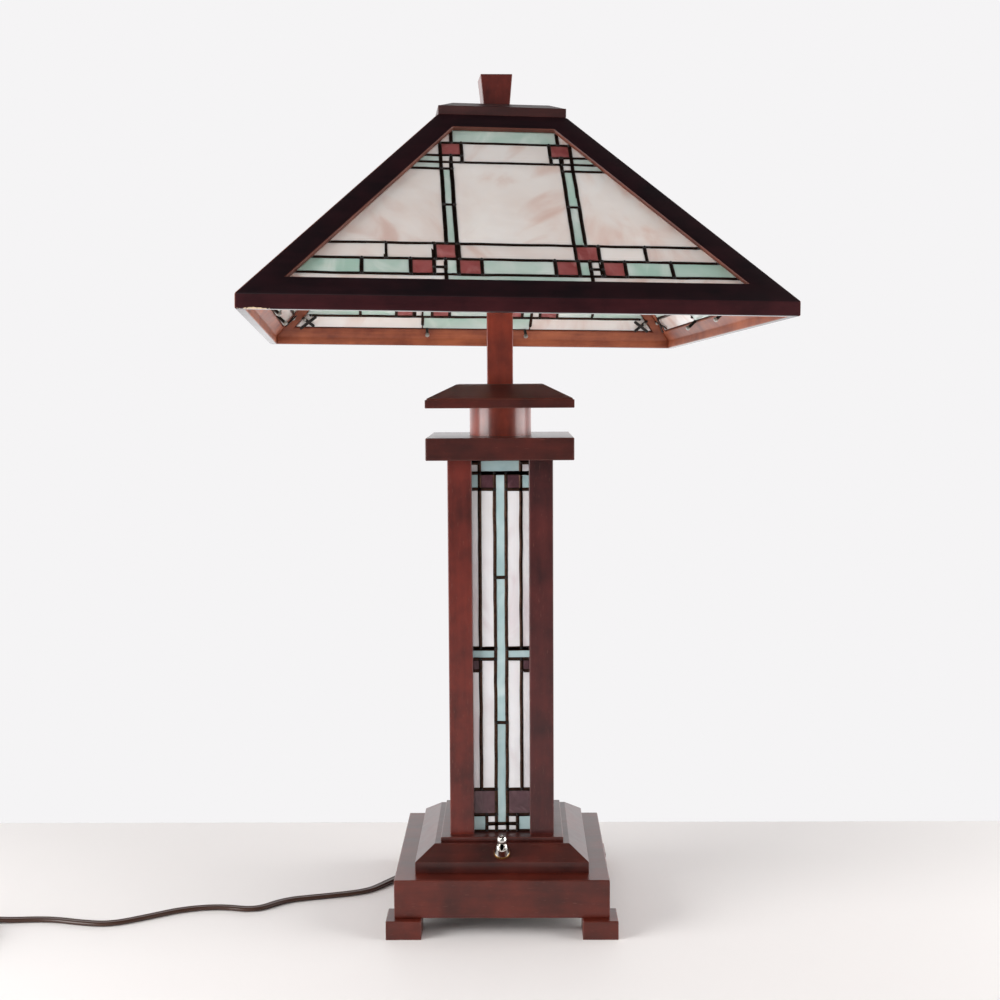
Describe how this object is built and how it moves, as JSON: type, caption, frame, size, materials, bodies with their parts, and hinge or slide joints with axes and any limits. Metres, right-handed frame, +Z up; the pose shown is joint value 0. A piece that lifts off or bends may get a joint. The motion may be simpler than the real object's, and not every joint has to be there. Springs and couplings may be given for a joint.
{
  "type": "table lamp",
  "caption": "Mission-style table lamp with a square wooden base, a glazed wooden column, and a pyramid shade of leaded glass panels in wooden frames.",
  "frame": {"origin": "on the table surface, under the middle of the base", "axes": "+Z up along the column; the switch side faces -Y; +X to the right seen from the switch side"},
  "size_m": [0.6964, 0.4153, 0.6602],
  "materials": {
    "mahogany_wood": "dark red stain under satin lacquer",
    "art_glass": "opalescent white, sage green and ruby art glass",
    "leading": "solder with a dark patina",
    "hardboard": "dark hardboard",
    "steel": "zinc plated",
    "brass": "plain brass",
    "socket_shell": "black phenolic",
    "bulb_glass": "white frosted glass",
    "chrome": "polished chrome",
    "rubber": "moulded brown vinyl",
    "cord": "ribbed brown vinyl",
    "cord_tie": "black plastic strap"
  },
  "bodies": {
    "base": {"base_bottom_cover": "hardboard", "base_cover_screws": "steel", "base_slab": "mahogany_wood", "canopy_plate": "mahogany_wood", "centre_pipe": "steel", "cluster_body": "brass", "collar": "mahogany_wood", "column_base_plate": "mahogany_wood", "column_cap": "mahogany_wood", "column_glass_back": "art_glass", "column_glass_front": "art_glass", "column_glass_left": "art_glass", "column_glass_right": "art_glass", "column_leading_back": "leading", "column_leading_front": "leading", "column_leading_left": "leading", "column_leading_right": "leading", "cord_coil": "cord", "cord_tie": "cord_tie", "foot_back_left": "mahogany_wood", "foot_back_right": "mahogany_wood", "foot_front_left": "mahogany_wood", "foot_front_right": "mahogany_wood", "inner_wiring": "cord", "lamp_socket_left": "socket_shell", "lamp_socket_right": "socket_shell", "lock_nuts_and_washers": "steel", "night_light_socket": "socket_shell", "plug_blades": "brass", "plug_body": "rubber", "post_back_left": "mahogany_wood", "post_back_right": "mahogany_wood", "post_front_left": "mahogany_wood", "post_front_right": "mahogany_wood", "power_cord": "cord", "riser_rod": "steel", "stem": "mahogany_wood", "step_block": "mahogany_wood", "strain_relief": "rubber", "switch_body": "chrome", "switch_dress_nut": "chrome"},
    "shade": {"shade_frame_back": "mahogany_wood", "shade_frame_front": "mahogany_wood", "shade_frame_left": "mahogany_wood", "shade_frame_right": "mahogany_wood", "shade_glass_back": "art_glass", "shade_glass_front": "art_glass", "shade_glass_left": "art_glass", "shade_glass_right": "art_glass", "shade_leading_back": "leading", "shade_leading_front": "leading", "shade_leading_left": "leading", "shade_leading_right": "leading", "shade_top_cap": "mahogany_wood", "glass_retainers": "steel"},
    "finial": {"finial": "mahogany_wood"},
    "switch_lever": {"switch_lever": "chrome"},
    "bulb_left": {"bulb_left": "bulb_glass"},
    "bulb_right": {"bulb_right": "bulb_glass"},
    "night_bulb": {"night_light_bulb": "bulb_glass"}
  },
  "joints": [
    {"name": "shade_turn", "type": "hinge", "parent": "base", "child": "shade", "pos_m": [-0.0023, 0.003, 0.6195], "axis": [-0.0165, 0.0215, 0.9996], "continuous": true},
    {"name": "finial_turn", "type": "hinge", "parent": "base", "child": "finial", "pos_m": [-0.00271, 0.00354, 0.64449], "axis": [-0.0165, 0.0215, 0.9996], "continuous": true},
    {"name": "switch_toggle", "type": "hinge", "parent": "base", "child": "switch_lever", "pos_m": [0, -0.05819, 0.05554], "axis": [1, 0, 0], "range_deg": [0, 25]},
    {"name": "bulb_left_turn", "type": "hinge", "parent": "base", "child": "bulb_left", "pos_m": [-0.086, 0, 0.515], "axis": [-1, 0, 0], "continuous": true},
    {"name": "bulb_right_turn", "type": "hinge", "parent": "base", "child": "bulb_right", "pos_m": [0.086, 0, 0.515], "axis": [1, 0, 0], "continuous": true},
    {"name": "night_bulb_turn", "type": "hinge", "parent": "base", "child": "night_bulb", "pos_m": [0, 0.017, 0.13], "axis": [0, 0, 1], "continuous": true}
  ]
}
